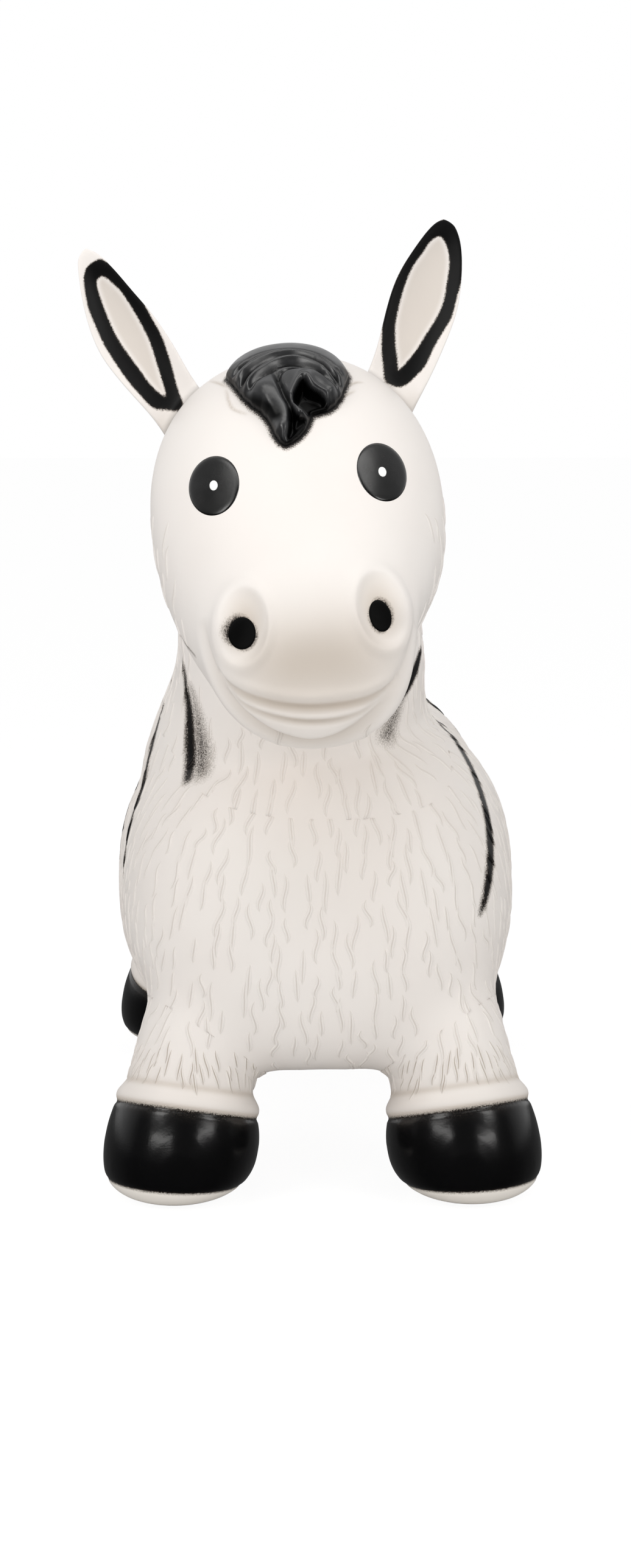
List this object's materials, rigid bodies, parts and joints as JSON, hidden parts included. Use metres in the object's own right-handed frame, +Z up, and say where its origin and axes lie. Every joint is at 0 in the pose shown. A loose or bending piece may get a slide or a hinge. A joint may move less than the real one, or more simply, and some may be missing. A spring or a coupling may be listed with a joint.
{
  "type": "inflatable ride-on hopper",
  "caption": "Inflatable bouncing ride-on zebra toy with hollow soft vinyl skin, ears to hold, moulded hair and hooves, flexing neck and legs, and a belly air valve.",
  "frame": {"origin": "on the floor under the middle of the toy's overall length and width", "axes": "+Z up, -Y towards the muzzle, +X to the animal's own left"},
  "size_m": [0.2795, 0.5732, 0.5697],
  "materials": {
    "ivory_skin": "satin soft vinyl, ivory white with a warm shade lower down",
    "black_print": "semi-gloss black airbrushed paint on vinyl",
    "bare_sole": "bare satin vinyl",
    "white_print": "white printed highlight",
    "valve_vinyl": "satin translucent-white vinyl"
  },
  "bodies": {
    "body": {"torso": "ivory_skin", "valve_seat": "valve_vinyl", "tail": "black_print"},
    "head": {"head_and_neck": "ivory_skin", "forelock": "black_print", "mane": "black_print", "eye_left": "black_print", "eye_right": "black_print", "glint_left": "white_print", "glint_right": "white_print", "nostril_left": "black_print", "nostril_right": "black_print"},
    "ear_grip_left": {"ear_left": "ivory_skin"},
    "ear_grip_right": {"ear_right": "ivory_skin"},
    "leg_front_left": {"leg_front_left": "ivory_skin", "hoof_front_left": "black_print", "sole_front_left": "bare_sole"},
    "leg_front_right": {"leg_front_right": "ivory_skin", "hoof_front_right": "black_print", "sole_front_right": "bare_sole"},
    "leg_rear_left": {"leg_rear_left": "ivory_skin", "hoof_rear_left": "black_print", "sole_rear_left": "bare_sole"},
    "leg_rear_right": {"leg_rear_right": "ivory_skin", "hoof_rear_right": "black_print", "sole_rear_right": "bare_sole"},
    "plug": {"valve_plug": "valve_vinyl"}
  },
  "joints": [
    {"name": "neck_flex", "type": "hinge", "parent": "body", "child": "head", "pos_m": [-0.0155, -0.099, 0.314], "axis": [1, 0, 0], "range_deg": [-8, 10], "stiffness_Nm_per_rad": 40},
    {"name": "ear_flex_left", "type": "hinge", "parent": "head", "child": "ear_grip_left", "pos_m": [0.03961, -0.12379, 0.47389], "axis": [-0.9518, 0.0234, 0.3057], "range_deg": [-10, 25], "stiffness_Nm_per_rad": 1},
    {"name": "ear_flex_right", "type": "hinge", "parent": "head", "child": "ear_grip_right", "pos_m": [-0.08291, -0.12704, 0.4637], "axis": [-0.8478, -0.0301, -0.5295], "range_deg": [-10, 25], "stiffness_Nm_per_rad": 1},
    {"name": "leg_splay_front_left", "type": "hinge", "parent": "body", "child": "leg_front_left", "pos_m": [0.0749, -0.1231, 0.0918], "axis": [0, -1, 0], "range_deg": [-5, 8], "stiffness_Nm_per_rad": 25},
    {"name": "leg_splay_front_right", "type": "hinge", "parent": "body", "child": "leg_front_right", "pos_m": [-0.0749, -0.1231, 0.0918], "axis": [0, 1, 0], "range_deg": [-5, 8], "stiffness_Nm_per_rad": 25},
    {"name": "leg_splay_rear_left", "type": "hinge", "parent": "body", "child": "leg_rear_left", "pos_m": [0.08447, 0.21543, 0.08916], "axis": [0, -1, 0], "range_deg": [-5, 8], "stiffness_Nm_per_rad": 25},
    {"name": "leg_splay_rear_right", "type": "hinge", "parent": "body", "child": "leg_rear_right", "pos_m": [-0.08447, 0.21543, 0.08916], "axis": [0, 1, 0], "range_deg": [-5, 8], "stiffness_Nm_per_rad": 25},
    {"name": "valve_plug_pull", "type": "slide", "parent": "body", "child": "plug", "axis": [0, 0, -1], "range_m": [0, 0.02]}
  ]
}
